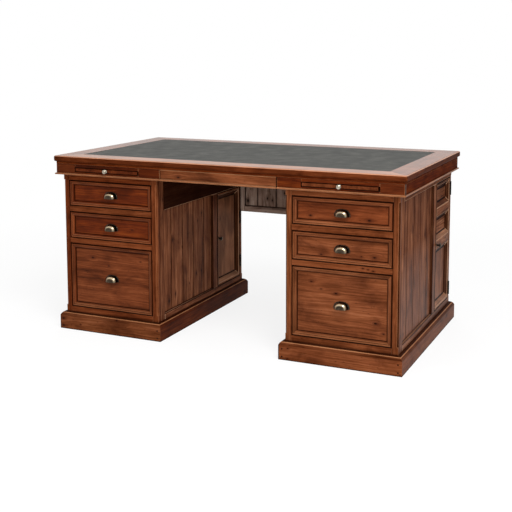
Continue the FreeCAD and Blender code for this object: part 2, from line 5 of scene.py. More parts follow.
import bmesh
import bpy
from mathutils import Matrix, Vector


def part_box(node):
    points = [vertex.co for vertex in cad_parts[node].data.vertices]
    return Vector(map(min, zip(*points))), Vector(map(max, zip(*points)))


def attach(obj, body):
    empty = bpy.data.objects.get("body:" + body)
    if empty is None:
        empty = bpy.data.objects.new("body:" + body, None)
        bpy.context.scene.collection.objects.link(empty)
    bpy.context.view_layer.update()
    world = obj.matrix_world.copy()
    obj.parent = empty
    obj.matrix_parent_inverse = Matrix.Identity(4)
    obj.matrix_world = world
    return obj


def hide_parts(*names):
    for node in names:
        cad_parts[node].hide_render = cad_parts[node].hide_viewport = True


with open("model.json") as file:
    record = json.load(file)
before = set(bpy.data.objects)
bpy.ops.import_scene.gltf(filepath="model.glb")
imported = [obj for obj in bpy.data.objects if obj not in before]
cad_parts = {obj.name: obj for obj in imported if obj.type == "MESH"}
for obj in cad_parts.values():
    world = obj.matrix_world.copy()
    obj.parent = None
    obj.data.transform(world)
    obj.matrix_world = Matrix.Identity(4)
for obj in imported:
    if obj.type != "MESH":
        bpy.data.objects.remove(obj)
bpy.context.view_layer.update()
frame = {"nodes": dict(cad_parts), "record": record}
nodeBody = {node: body for body, nodes in frame["record"]["behaviour"]["bodies"].items() for node in nodes}
nodeSlot = {part["node"]: part["material_slot"] for part in frame["record"]["subparts"]}
knotCount = 5  # knots that one board can carry


def mm(value):
    return value / 1000


def linearColour(hexColour):
    channels = [int(hexColour[i:i + 2], 16) / 255 for i in (1, 3, 5)]
    return [c / 12.92 if c <= 0.04045 else ((c + 0.055) / 1.055) ** 2.4 for c in channels] + [1.0]


# Settings that many nodes share
smoothStep = {"interpolation_type": "SMOOTHSTEP"}
multiply = {"operation": "MULTIPLY"}
multiplyAdd = {"operation": "MULTIPLY_ADD"}
maximum = {"operation": "MAXIMUM"}
colourMix = {"data_type": "RGBA"}
tintMix = {"data_type": "RGBA", "blend_type": "MULTIPLY"}


def setInputs(node, inputs):
    # Takes plain values, hex colours, sockets, and nodes whose first output is meant. From and To are a range's ends.
    inputs = dict(inputs)
    for name in ("From", "To"):
        if name in inputs:
            inputs[name + " Min"], inputs[name + " Max"] = inputs.pop(name)
    for name, value in inputs.items():
        value = value.outputs[0] if isinstance(value, bpy.types.Node) else value
        if isinstance(value, bpy.types.NodeSocket):
            node.id_data.links.new(value, node.inputs[name])
        else:
            node.inputs[name].default_value = linearColour(value) if isinstance(value, str) else value


def addNode(tree, kind, settings=None, inputs=None, ramp=None):
    node = tree.nodes.new("ShaderNode" + kind)
    for name, value in (settings or {}).items():
        setattr(node, name, value)
    setInputs(node, inputs or {})
    for k, (place, hexColour) in enumerate(ramp or []):
        stops = node.color_ramp.elements
        stop = stops[k] if k < len(stops) else stops.new(place)
        stop.position = place
        stop.color = linearColour(hexColour)
    return node


def addObject(name, data):
    made = bpy.data.objects.new(name, data)
    bpy.context.scene.collection.objects.link(made)
    return made


def newBoardMesh():
    # An empty bmesh whose faces carry wear with painted highlight, and dark glaze with painted shade, from 0 to 1.
    bm = bmesh.new()
    return bm, bm.faces.layers.float.new("wearAndHighlight"), bm.faces.layers.float.new("glazeAndShade")


def takeMesh(bm, name):
    mesh = bpy.data.meshes.new(name)
    bm.to_mesh(mesh)
    bm.free()
    return mesh


def newMaterial(name):
    material = bpy.data.materials.new(name)
    material.use_nodes = True
    tree = material.node_tree
    shader = tree.nodes["Principled BSDF"]
    return material, tree, shader


# Wood. Every board carries its own grain coordinates: x along the grain, y across the face, z through it.

def makePine(name, look):
    # Reclaimed pine, stained, glazed dark and painted with shade in the hollows, lightened by wear and painted
    # highlight, and waxed: warm streaks, black knots, satin shine.
    material, tree, shader = newMaterial(name)
    point = addNode(tree, "Attribute", {"attribute_name": "grainPoint"}).outputs["Vector"]
    seed, tone, wearAndHighlight, glazeAndShade = [addNode(tree, "Attribute", {"attribute_name": label}).outputs["Fac"]
                               for label in ("boardSeed", "boardTone", "wearAndHighlight", "glazeAndShade")]
    split = addNode(tree, "SeparateXYZ", inputs={"Vector": point})
    offset = addNode(tree, "VectorMath", {"operation": "SCALE"}, {0: look["seedShift"], "Scale": seed})

    across = split.outputs["Y"]
    knotMask = 0.0
    haloMask = 0.0
    for k in range(knotCount):
        knot = addNode(tree, "Attribute", {"attribute_name": "knot%d" % k}).outputs["Vector"]
        parts = addNode(tree, "SeparateXYZ", inputs={"Vector": knot})
        apart = addNode(tree, "VectorMath", {"operation": "SUBTRACT"}, {0: point, 1: knot})
        flat = addNode(tree, "VectorMath", multiply, {0: apart, 1: look["knotSquash"]})
        far = addNode(tree, "VectorMath", {"operation": "LENGTH"}, {0: flat})
        radii = addNode(tree, "Math", {"operation": "DIVIDE"}, {0: far.outputs["Value"], 1: parts.outputs["Z"]})
        bend, core, halo = [
            addNode(tree, "MapRange", smoothStep, {"Value": radii, "From": (near, wide), "To": (strength, 0.0)})
            for near, wide, strength in look["knotFalls"]]
        aside = addNode(tree, "Math", {"operation": "SUBTRACT"}, {0: parts.outputs["Y"], 1: split.outputs["Y"]})
        across = addNode(tree, "Math", multiplyAdd, {0: aside, 1: bend, 2: across})
        swell = addNode(tree, "Math", multiply, {0: radii, 1: 2 * math.pi / look["knotRing"]})
        curl = addNode(tree, "Math", {"operation": "COSINE"}, {0: swell})
        ringed = addNode(tree, "MapRange", inputs={"Value": curl, "From": (-1.0, 1.0), "To": look["knotRingShare"]})
        eye = addNode(tree, "Math", multiply, {0: halo, 1: ringed})
        knotMask = addNode(tree, "Math", maximum, {0: core, 1: knotMask})
        haloMask = addNode(tree, "Math", maximum, {0: eye, 1: haloMask})

    wander = addNode(tree, "VectorMath", multiplyAdd, {0: point, 1: look["wander"], 2: offset})
    wobble = addNode(tree, "TexNoise", inputs={"Vector": wander, "Scale": 1.0, "Detail": 2.0})
    across = addNode(tree, "Math", multiplyAdd, {0: wobble, 1: mm(look["waver"]), 2: across})
    grain = addNode(tree, "CombineXYZ", inputs={"X": split.outputs["X"], "Y": across, "Z": split.outputs["Z"]})

    streaks = []
    for along, width, detail in look["streaks"]:
        scaled = addNode(tree, "VectorMath", multiplyAdd,
                         {0: grain, 1: (1000 / along, 1000 / width, 1000 / width), 2: offset})
        streaks.append(addNode(tree, "TexNoise",
                               inputs={"Vector": scaled, "Scale": 1.0, "Detail": detail, "Roughness": 0.6}))
    broad, medium, fine = streaks
    ringSpace = addNode(tree, "Math", multiplyAdd, {0: broad, 1: mm(look["ringDrift"]), 2: across})
    ringTurn = addNode(tree, "Math", multiply, {0: ringSpace, 1: 2 * math.pi / mm(look["ringWidth"])})
    rings = addNode(tree, "Math", {"operation": "SINE"}, {0: ringTurn})

    value = 0.5 - 0.5 * (look["broad"] + look["medium"] + look["fine"])
    for layer, label in ((broad, "broad"), (medium, "medium"), (fine, "fine"), (rings, "rings")):
        value = addNode(tree, "Math", multiplyAdd, {0: layer, 1: look[label], 2: value})

    darker = addNode(tree, "ValToRGB", inputs={"Fac": value}, ramp=zip(look["stops"], look["dark"]))
    lighter = addNode(tree, "ValToRGB", inputs={"Fac": value}, ramp=zip(look["stops"], look["light"]))
    colour = addNode(tree, "Mix", colourMix, {"Factor": tone, 6: darker, 7: lighter}).outputs[2]

    cloud = addNode(tree, "VectorMath", multiplyAdd, {0: point, 1: look["cloud"], 2: offset})
    blotch = addNode(tree, "TexNoise",
                     inputs={"Vector": cloud, "Scale": 1.0, "Detail": 5.0, "Roughness": 0.6, "Distortion": 0.6})
    patchy = addNode(tree, "ValToRGB", inputs={"Fac": blotch}, ramp=look["blotch"])
    colour = addNode(tree, "Mix", tintMix, {"Factor": 1.0, 6: colour, 7: patchy}).outputs[2]

    haloShare = addNode(tree, "Math", multiply, {0: haloMask, 1: look["knotHalo"]})
    speckle = addNode(tree, "VectorMath", multiplyAdd, {0: grain, 1: look["speckle"], 2: offset})
    dents = addNode(tree, "TexVoronoi", inputs={"Vector": speckle, "Scale": 1.0})
    dentMask = addNode(tree, "MapRange", smoothStep,
                       {"Value": dents.outputs["Distance"], "From": look["dentReach"], "To": (look["dents"], 0.0)})
    dark = addNode(tree, "Math", maximum, {0: knotMask, 1: dentMask})

    # ambient occlusion darkens the hollows: dark glaze and painted shade together
    hollow = addNode(tree, "AmbientOcclusion", {"samples": 4}, {"Distance": mm(look["glazeReach"])})
    hollowGlazeAndShade = addNode(tree, "MapRange", smoothStep,
                      {"Value": hollow.outputs["AO"], "From": look["openness"], "To": (look["glazeAndShade"], 0.0)})
    hollowGlazeAndShade = addNode(tree, "Math", maximum, {0: hollowGlazeAndShade, 1: glazeAndShade})
    uneven = addNode(tree, "Math", {"operation": "ADD"}, {0: blotch, 1: look["evenWear"]})
    rubbedAndLit = addNode(tree, "Math", {"operation": "MULTIPLY", "use_clamp": True}, {0: wearAndHighlight, 1: uneven})
    # each colour lies over the ones before it: knot halos, knots, dark glaze with painted shade, worn wood with painted
    # highlight
    for share, label in ((haloShare, "haloColour"), (dark, "knot"), (hollowGlazeAndShade, "glazeAndShadeColour"), (rubbedAndLit, "wornAndLit")):
        colour = addNode(tree, "Mix", colourMix, {"Factor": share, 6: colour, 7: look[label]}).outputs[2]

    shine = addNode(tree, "MapRange", inputs={"Value": medium, "From": (0.2, 0.8), "To": look["roughness"]})
    waxed, reach = glazeAndShade, (0.0, 1.0)
    if look["coat"]:
        waxed, reach = wearAndHighlight, look["coatReach"]
        coated = addNode(tree, "MapRange", inputs={"Value": wearAndHighlight, "From": reach, "To": (0.0, look["coat"])})
        setInputs(shader, {"Coat Weight": coated, "Coat Roughness": look["coatRoughness"]})
    if look["waxHeights"]:
        place = addNode(tree, "TexCoord").outputs["Object"]
        waxed, reach = addNode(tree, "SeparateXYZ", inputs={"Vector": place}).outputs["Z"], look["waxHeights"]
    wax = addNode(tree, "MapRange", inputs={"Value": waxed, "From": reach, "To": look["wax"]})
    relief = addNode(tree, "Math", multiplyAdd, {0: fine, 1: look["poreDepth"], 2: medium})
    sunk = addNode(tree, "Math", multiplyAdd, {0: dark, 1: -look["dentDepth"], 2: relief})
    bump = addNode(tree, "Bump", inputs={"Height": sunk, "Strength": look["bump"], "Distance": mm(look["relief"])})
    setInputs(shader, {"Base Color": colour, "Roughness": shine, "IOR": look["ior"], "Normal": bump,
                       "Specular Tint": look["waxColour"], "Specular IOR Level": wax})
    return material


frontPineLook = {
    "stops": (0.14, 0.34, 0.50, 0.68, 0.88),  # where the colours of dark and light stand
    "dark": ("#260a03", "#4b1a08", "#62270d", "#763512", "#8b4a23"),
    "light": ("#3e1e10", "#65391e", "#7b492c", "#8d593c", "#a37153"),
    "blotch": [(0.28, "#a0928a"), (0.50, "#e2dbd6"), (0.70, "#ffffff")],
    # the glaze colour goes on dark glaze and painted shade, the worn colour on wear and painted highlight
    "knot": "#120502", "haloColour": "#35130a", "knotHalo": 0.62, "glazeAndShadeColour": "#190602", "wornAndLit": "#a06c49",
    "broad": 0.70, "medium": 0.58, "fine": 0.42, "rings": 0.05, "ringWidth": 13.0, "ringDrift": 70.0,
    "waver": 22.0, "dents": 0.5,
    # dark glaze with painted shade in a hollow, how far in mm the hollow is looked for, and the open share with full
    # darkening and with none
    "glazeAndShade": 0.95, "glazeReach": 9.0, "openness": (0.35, 0.95),
    "roughness": (0.34, 0.48), "coat": 0.0, "coatReach": (0.0, 0.2), "coatRoughness": 0.2, "evenWear": 0.25,
    "ior": 1.24, "waxColour": "#e4bd9c", "bump": 0.35, "poreDepth": 0.35, "dentDepth": 0.7, "relief": 0.6,
    # gloss from clean wood to glazed and shaded wood; with a coat from clean to worn and highlighted; with heights in m
    # from low to high
    "wax": (0.5, 0.03), "waxHeights": None,
    # streaks: length and width in mm, and detail. Real pores are near 0.3 mm, drawn coarser so that they show.
    "streaks": ((620, 26, 3.0), (210, 5.5, 3.0), (50, 2.2, 2.0)),
    # how the grain bends round a knot, its core and its halo: start and end in radii of the knot, and strength
    "knotFalls": ((0.0, 6.0, 0.85), (0.45, 0.95, 1.0), (0.8, 3.2, 1.0)),
    "knotSquash": (0.55, 1.0, 0.0), "knotRing": 1.15, "knotRingShare": (0.45, 1.0), "dentReach": (0.05, 0.14),
    # waves in a metre along the grain, across it and through it
    "wander": (3.2, 9.0, 9.0), "cloud": (7.0, 13.0, 13.0), "speckle": (24.0, 60.0, 60.0),
    "seedShift": (37.0, 17.0, 29.0),
}
casePineLook = dict(frontPineLook, ior=1.1)
# the top's lighter worn colour also paints the highlight on its front board
topPineLook = dict(frontPineLook, coat=0.52, ior=1.09, roughness=(0.30, 0.44), wax=(0.08, 0.5), bump=0.18,
                   wornAndLit="#c48a68")
boardPineLook = dict(
    frontPineLook, stops=(0.20, 0.38, 0.52, 0.66, 0.82),
    dark=("#33180d", "#5a2f1d", "#77462f", "#8f5b41", "#a77555"),
    light=("#402110", "#6d3f26", "#8b573a", "#a16b4b", "#b88664"),
    knot="#0e0402", haloColour="#2a110a", wornAndLit="#b78d70", dents=0.6, broad=0.85, medium=0.7, fine=0.4,
    roughness=(0.36, 0.50), ior=1.085, glazeReach=13.0,
)
sidePineLook = dict(boardPineLook, ior=1.12, wax=(1.0, 0.05), waxHeights=(0.12, 0.46))
friezePineLook = dict(frontPineLook, ior=1.02)
greyPineLook = dict(
    boardPineLook,
    dark=("#30201a", "#6e5648", "#8b7061", "#a08676", "#b49f8f"),
    light=("#4a3830", "#8a7468", "#a38c7e", "#b5a093", "#c6b6a9"),
    knot="#0c0706", haloColour="#3a2a22", wornAndLit="#9c8b7c", dents=0.8, roughness=(0.49, 0.63),
)
innerPineLook = dict(
    frontPineLook,
    dark=("#6f472c", "#8d5f3b", "#a0714b", "#b2845e", "#c4986f"),
    light=("#7f5637", "#9e704a", "#b3865e", "#c69a72", "#d8b189"),
    knot="#4a2411", haloColour="#6e4020", glazeAndShade=0.45, glazeAndShadeColour="#4a2d1a", wornAndLit="#d0ab80", dents=0.15,
    blotch=[(0.28, "#dcd4cc"), (0.50, "#f2ede8"), (0.70, "#ffffff")], broad=0.5, medium=0.6, fine=0.4, rings=0.12,
    roughness=(0.49, 0.63), bump=0.3,
)
frontPine = makePine("stainedPineFront", frontPineLook)
casePine = makePine("stainedPineCase", casePineLook)
topPine = makePine("polishedPineTop", topPineLook)
boardPine = makePine("stainedPineBoards", boardPineLook)
sidePine = makePine("waxedPineSide", sidePineLook)
friezePine = makePine("dullPineFrieze", friezePineLook)
greyPine = makePine("greyedPineModesty", greyPineLook)
innerPine = makePine("lacqueredPineInside", innerPineLook)


def makeLeather(name, look):
    # Bonded desk leather with a printed pebble grain: dark grey green, soft cloudy shade, dull shine.
    material, tree, shader = newMaterial(name)
    place = addNode(tree, "TexCoord").outputs["Object"]
    cloud = addNode(tree, "TexNoise",
                    inputs={"Vector": place, "Scale": 1000 / look["cloudWidth"], "Detail": 3.0, "Roughness": 0.55})
    colour = addNode(tree, "ValToRGB", inputs={"Fac": cloud}, ramp=look["colours"])
    pebble = addNode(tree, "TexVoronoi", {"feature": "SMOOTH_F1"},
                     {"Vector": place, "Scale": 1000 / look["pebbleWidth"], "Smoothness": 0.35})
    hollow = pebble.outputs["Distance"]
    shade = addNode(tree, "MapRange", inputs={"Value": hollow, "From": (0.1, 0.75), "To": (1.06, 0.8)})
    wrinkle = addNode(tree, "TexNoise", inputs={"Vector": place, "Scale": 1000 / look["wrinkleWidth"], "Detail": 3.0})
    uneven = addNode(tree, "Math", multiplyAdd, {0: wrinkle, 1: 0.9, 2: 0.55})
    shade = addNode(tree, "Math", multiply, {0: shade, 1: uneven})
    grey = addNode(tree, "CombineColor", inputs={"Red": shade, "Green": shade, "Blue": shade})
    mixed = addNode(tree, "Mix", tintMix, {"Factor": 1.0, 6: colour, 7: grey}).outputs[2]
    # the rolled edge darkens: painted shadow where the skin meets the wood
    edge = addNode(tree, "Attribute", {"attribute_name": "glazeAndShade"}).outputs["Fac"]
    mixed = addNode(tree, "Mix", colourMix, {"Factor": edge, 6: mixed, 7: look["edgeShadeColour"]}).outputs[2]
    dull = addNode(tree, "MapRange", inputs={"Value": cloud, "From": (0.3, 0.7), "To": look["roughness"]})
    height = addNode(tree, "Math", {"operation": "SUBTRACT"}, {0: wrinkle, 1: hollow})
    bump = addNode(tree, "Bump", inputs={"Height": height, "Strength": look["bump"], "Distance": mm(look["relief"])})
    setInputs(shader, {"Base Color": mixed, "Roughness": dull, "IOR": look["ior"], "Normal": bump})
    return material


leather = makeLeather("pebbledLeather", {
    # the edge colour is painted shadow
    "colours": [(0.28, "#1f1f1a"), (0.50, "#2a2a24"), (0.72, "#383730")], "edgeShadeColour": "#0e0c0a",
    "cloudWidth": 64.0, "wrinkleWidth": 6.25, "pebbleWidth": 2.4,  # in mm; real pebbles are near 1 mm
    "roughness": (0.63, 0.57), "ior": 1.4, "bump": 0.4, "relief": 0.35,
})


def makeMetal(name, look):
    # Cast metal, plated and patinated: bright where rubbed and with painted highlight, dark with patina in the hollows
    # and with painted shade.
    material, tree, shader = newMaterial(name)
    place = addNode(tree, "TexCoord").outputs["Object"]
    mottle = addNode(tree, "TexNoise",
                     inputs={"Vector": place, "Scale": 1000 / look["mottleWidth"], "Detail": 4.0, "Roughness": 0.6})
    bare = addNode(tree, "ValToRGB", inputs={"Fac": mottle}, ramp=look["colours"])
    hollow = addNode(tree, "AmbientOcclusion", {"samples": 4}, {"Distance": mm(6)})
    grime = addNode(tree, "MapRange",
                    inputs={"Value": hollow.outputs["AO"], "From": (0.3, 0.9), "To": (look["grime"], 0.0)})
    # wear adds rubbed metal with painted highlight, glaze adds painted shade
    wearAndHighlight, glazeAndShade = [addNode(tree, "Attribute", {"attribute_name": label}).outputs["Fac"] for label in ("wearAndHighlight", "glazeAndShade")]
    rubbedAndLit = addNode(tree, "Mix", colourMix, {"Factor": wearAndHighlight, 6: bare, 7: look["rubbedAndLit"]}).outputs[2]
    dark = addNode(tree, "Math", maximum, {0: grime, 1: glazeAndShade})
    colour = addNode(tree, "Mix", colourMix, {"Factor": dark, 6: rubbedAndLit, 7: look["grimeColour"]}).outputs[2]
    rough = addNode(tree, "MapRange", inputs={"Value": mottle, "From": (0.3, 0.7), "To": look["roughness"]})
    bump = addNode(tree, "Bump", inputs={"Height": mottle, "Strength": 0.15, "Distance": mm(0.3)})
    setInputs(shader, {"Base Color": colour, "Specular Tint": look["gloss"], "Metallic": look["metallic"],
                       "Roughness": rough, "Normal": bump})
    return material


pewterLook = {
    "colours": [(0.30, "#332b23"), (0.50, "#463c31"), (0.70, "#574c3f")], "mottleWidth": 16.0,
    # the rubbed colour is also the painted highlight on the cups' shoulders
    "rubbedAndLit": "#dcc7a4", "gloss": "#ffffff",
    "grime": 0.98, "grimeColour": "#0b0705", "metallic": 1.0, "roughness": (0.36, 0.24),
}
# lighter pewter for the slide knobs: its light colours paint in their highlight
brightPewterLook = dict(
    pewterLook, colours=[(0.30, "#857c6d"), (0.50, "#b0a695"), (0.70, "#d2c9b8")], mottleWidth=8.0,
    rubbedAndLit="#e6d9c2", grime=0.9, grimeColour="#1c1611", roughness=(0.31, 0.19),
)
# darker pewter for the door knobs and for the cups' flanges, where it is partly painted shadow round the cup
darkPewterLook = dict(
    pewterLook, colours=[(0.30, "#211b15"), (0.50, "#40382e"), (0.70, "#60564a")], mottleWidth=6.0,
    rubbedAndLit="#8a7d6c", grimeColour="#050403", roughness=(0.43, 0.31),
)
blackIronLook = {
    "colours": [(0.30, "#060504"), (0.55, "#0d0a09"), (0.75, "#1c1714")], "mottleWidth": 7.0,
    "rubbedAndLit": "#3a302a", "gloss": "#7a5c48",
    "grime": 0.5, "grimeColour": "#060504", "metallic": 0.0, "roughness": (0.57, 0.45),
}
nailIronLook = dict(
    blackIronLook, colours=[(0.30, "#160803"), (0.55, "#241007"), (0.75, "#32160b")],
    gloss="#4a3020", grimeColour="#120703",
)
pewter = makeMetal("antiquedPewter", pewterLook)
brightPewter = makeMetal("brightenedPewter", brightPewterLook)
darkPewter = makeMetal("darkenedPewter", darkPewterLook)
blackIron = makeMetal("blackLacqueredIron", blackIronLook)
nailIron = makeMetal("stainedOverNails", nailIronLook)
print("materials: pine in eight finishes, leather, pewter, black iron")


# Pieces. Boards are gathered in plain lists and turned into one mesh for each CAD node.

def startPiece():
    return {"points": [], "faces": [], "grainPoint": [], "boardSeed": [], "boardTone": [],
            "knots": [[] for k in range(knotCount)], "wearAndHighlight": [], "glazeAndShade": []}


commonKnots = {"perSquareMetre": 14.0, "radius": (2.2, 6.5), "reach": (0.92, 0.8)}
toneSpread = 0.16
absentKnot = (9000.0, 9000.0, 0.1)  # far off the board, in mm


def randomKnots(rng, halfLong, halfWide, look):
    # Knots stay clear of the ends and are listed as (along, across, radius) from the board's middle, in mm.
    wanted = 4 * halfLong * halfWide * 1e-6 * look["perSquareMetre"]
    count = min(knotCount, int(wanted) + (1 if rng.random() < wanted - int(wanted) else 0))
    knots = []
    for k in range(count):
        along, aside = [rng.uniform(-reach, reach) for reach in look["reach"]]
        knots.append((along * halfLong, aside * halfWide, rng.uniform(*look["radius"])))
    return knots


def addBoard(piece, bm, rng, grain, tone, knots):
    # Takes a finished board's bmesh. grain names the axis of its fibres, or None for the longest one.
    bm.verts.ensure_lookup_table()
    low = Vector([min(v.co[i] for v in bm.verts) for i in range(3)])
    high = Vector([max(v.co[i] for v in bm.verts) for i in range(3)])
    middle, size = (low + high) / 2, high - low
    order = sorted(range(3), key=lambda i: -size[i])
    if grain is not None:
        order.remove("xyz".index(grain))
        order.insert(0, "xyz".index(grain))
    if knots is None:
        knots = randomKnots(rng, size[order[0]] * 500, size[order[1]] * 500, commonKnots)
    seed = rng.uniform(0.05, 1.0)
    boardTone = min(1.0, max(0.0, tone + rng.uniform(-toneSpread, toneSpread)))
    base = len(piece["points"])
    for v in bm.verts:
        piece["points"].append(v.co[:])
        piece["grainPoint"].append([(v.co - middle)[i] for i in order])
        piece["boardSeed"].append(seed)
        piece["boardTone"].append(boardTone)
        for k in range(knotCount):
            spot = knots[k] if k < len(knots) else absentKnot
            piece["knots"][k].append([mm(c) for c in spot])
    wearAndHighlightLayer = bm.faces.layers.float.get("wearAndHighlight")
    glazeAndShadeLayer = bm.faces.layers.float.get("glazeAndShade")
    for f in bm.faces:
        piece["faces"].append([base + v.index for v in f.verts])
        piece["wearAndHighlight"].append(f[wearAndHighlightLayer] if wearAndHighlightLayer else 0.0)
        piece["glazeAndShade"].append(f[glazeAndShadeLayer] if glazeAndShadeLayer else 0.0)


def finishPiece(piece, node, material, smoothAngle=34.0):
    name = node.replace("_", "-") + "-wood"
    mesh = bpy.data.meshes.new(name)
    mesh.from_pydata(piece["points"], [], piece["faces"])
    vectors = {"grainPoint": piece["grainPoint"]}
    vectors.update({"knot%d" % k: piece["knots"][k] for k in range(knotCount)})
    for label, values in vectors.items():
        layer = mesh.attributes.new(label, "FLOAT_VECTOR", "POINT")
        layer.data.foreach_set("vector", [c for value in values for c in value])
    for label, domain in (("boardSeed", "POINT"), ("boardTone", "POINT"), ("wearAndHighlight", "FACE"), ("glazeAndShade", "FACE")):
        layer = mesh.attributes.new(label, "FLOAT", domain)
        layer.data.foreach_set("value", piece[label])
    placePiece(mesh, name, node, material, smoothAngle)


def placePiece(mesh, name, node, material, smoothAngle):
    # Hands a mesh in as the dressed form of one CAD node.
    mesh.shade_smooth()
    mesh.set_sharp_from_angle(angle=math.radians(smoothAngle))
    mesh.materials.append(material)
    made = addObject(name, mesh)
    weighted = made.modifiers.new("cleanShading", "WEIGHTED_NORMAL")
    weighted.keep_sharp = True
    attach(made, nodeBody[node])
    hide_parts(node)
    return made


def nodeSolids(node):
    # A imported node's mesh holds its solids one after another, and each one is a closed mesh.
    mesh = frame["nodes"][node].data
    spots, solids, current, openEdges = {}, [], [], {}
    keys = [spots.setdefault(tuple(round(c * 1e6) for c in v.co), len(spots)) for v in mesh.vertices]
    places = {key: mesh.vertices[i].co.copy() for i, key in reversed(list(enumerate(keys)))}
    for polygon in mesh.polygons:
        loop = [keys[i] for i in polygon.vertices]
        current.append(loop)
        for a, b in zip(loop, loop[1:] + loop[:1]):
            if openEdges.get((b, a), 0) > 0:
                openEdges[(b, a)] -= 1
                if openEdges[(b, a)] == 0:
                    del openEdges[(b, a)]
            else:
                openEdges[(a, b)] = openEdges.get((a, b), 0) + 1
        if not openEdges:
            solids.append(current)
            current = []
    return solids, places


panelFace = 7.0  # a door panel's face above the door's back, in mm
easedLook = {
    # degrees up to which faces are one flat face, and from which an edge is sharp
    "flatAngle": 0.6, "sharpAngle": 28.0,
    # share of an axis from which a face counts as square to it
    "square": 0.97,
    # share of z from which a face rises, and from which it lies level
    "rising": 0.2, "level": 0.98,
    # a plinth's rounded top: share of z along its painted highlight line, and painted shade above and below that
    "lineLow": 0.7, "lineHigh": 0.8, "ledgeShade": 0.85, "coveShade": 0.35,
    # the desk top's rounded edge: share of z from which it is worn and takes painted highlight, and painted shade below
    # that
    "topLine": 0.5, "underEdgeShade": 0.3,
    # width in mm along a node's rim, and depth in mm behind a door's back, that count as part of them
    "rim": 2.5, "behind": 3.0,
    # wear on the arrises of a door's back, and on the others; shade on slopes from which all arrises take painted shade
    "insideWear": 0.15, "wearAndHighlight": 1.0, "allDark": 0.85,
}


def inZone(point, zone):
    # zone gives the lowest and highest x, y and z in mm, on either side of the desk's middle
    spot = (abs(point.x) * 1000, point.y * 1000, point.z * 1000)
    return all(zone[2 * i] < spot[i] < zone[2 * i + 1] for i in range(3))


def onRim(point, box):
    # near the y and z limits of a node's box
    low, high = box
    return min(point.y - low.y, high.y - point.y, point.z - low.z, high.z - point.z) < mm(easedLook["rim"])


recessLook = {
    # painted shade and painted highlight of a face set back in a side frame or a door, by where it faces to the light;
    # low is below lowHeight metres
    "upLow": (0.0, 0.3), "upHigh": (0.3, 0.0), "downOrFront": (0.75, 0.0), "back": (0.4, 0.0), "outwards": (0.0, 0.0),
    "lowHeight": 0.5, "turned": 0.3,  # turned: share of an axis from which a face looks that way
}


def recessShade(normal, height):
    # painted highlight on faces that look up low down, painted shade on the rest
    look = recessLook
    if normal.z > look["turned"]:
        return look["upLow" if height < look["lowHeight"] else "upHigh"]
    if normal.z < -look["turned"] or normal.y < -look["turned"]:
        return look["downOrFront"]
    return look["back" if normal.y > look["turned"] else "outwards"]


def solidMesh(loops, places, bevel, chamferGlazeAndShade, glazedAndShaded, slopeWearAndHighlight, roundedTop, doorRimShade, recess, topWearAndHighlight):
    # One solid with its flat faces joined up again and its sharp edges eased by bevel millimetres.
    bm, wearAndHighlight, glazeAndShade = newBoardMesh()
    made = {}
    for loop in loops:
        corners = []
        for key in loop:
            if key not in made:
                made[key] = bm.verts.new(places[key])
            if made[key] not in corners:
                corners.append(made[key])
        if len(corners) > 2 and bm.faces.get(corners) is None:
            bm.faces.new(corners)
    look = easedLook
    bmesh.ops.dissolve_limit(bm, angle_limit=math.radians(look["flatAngle"]), verts=bm.verts, edges=bm.edges)
    # faces take painted highlight and shade by where they face: slopes, a plinth's rounded top, the desk top's edge and
    # faces set back in a frame or door
    for f in bm.faces:
        up = f.normal.z
        sloped = max(abs(c) for c in f.normal) < look["square"]
        rising = look["rising"] < up < look["square"]
        f[glazeAndShade] = chamferGlazeAndShade if sloped else 0.0
        f[wearAndHighlight] = slopeWearAndHighlight if sloped and (slopeWearAndHighlight == 1.0 or not rising) else 0.0
        if up > look["level"]:
            f[wearAndHighlight] = max(f[wearAndHighlight], topWearAndHighlight)
        middle = f.calc_center_median()
        if recess and not onRim(middle, recess):
            f[glazeAndShade], f[wearAndHighlight] = recessShade(f.normal, middle.z)
        if roundedTop and up > look["rising"]:
            line = look["lineLow"] < up < look["lineHigh"]
            f[wearAndHighlight] = 1.0 if line else 0.0
            f[glazeAndShade] = 0.0 if line else look["ledgeShade" if up > look["lineHigh"] else "coveShade"]
        if topWearAndHighlight and abs(up) < look["square"]:
            f[wearAndHighlight], f[glazeAndShade] = (1.0, 0.0) if up > look["topLine"] else (0.0, look["underEdgeShade"])
    if bevel:
        sharp = [e for e in bm.edges if e.is_manifold and e.calc_face_angle() > math.radians(look["sharpAngle"])]
        done = bmesh.ops.bevel(bm, geom=sharp, offset=mm(bevel), offset_type="OFFSET", segments=2,
                               profile=0.5, affect="EDGES", clamp_overlap=True)
        for f in done["faces"]:
            middle = f.calc_center_median()
            # arrises are worn and lit; in shadow zones, along a door's rim, underneath and at a door panel's edge they
            # take painted shade
            dark = chamferGlazeAndShade > look["allDark"] or any(inZone(middle, zone) for zone in glazedAndShaded)
            inside = False
            if doorRimShade:
                depth = middle.x - doorRimShade[0].x
                inside = depth < mm(look["behind"])
                onPanel = abs(depth - mm(panelFace)) < mm(look["behind"])
                dark = dark or onRim(middle, doorRimShade) or f.normal.z < -recessLook["turned"] or onPanel
            f[wearAndHighlight] = 0.0 if dark else look["insideWear"] if inside else look["wearAndHighlight"]
            f[glazeAndShade] = 1.0 if dark else 0.0
    bm.normal_update()
    return bm


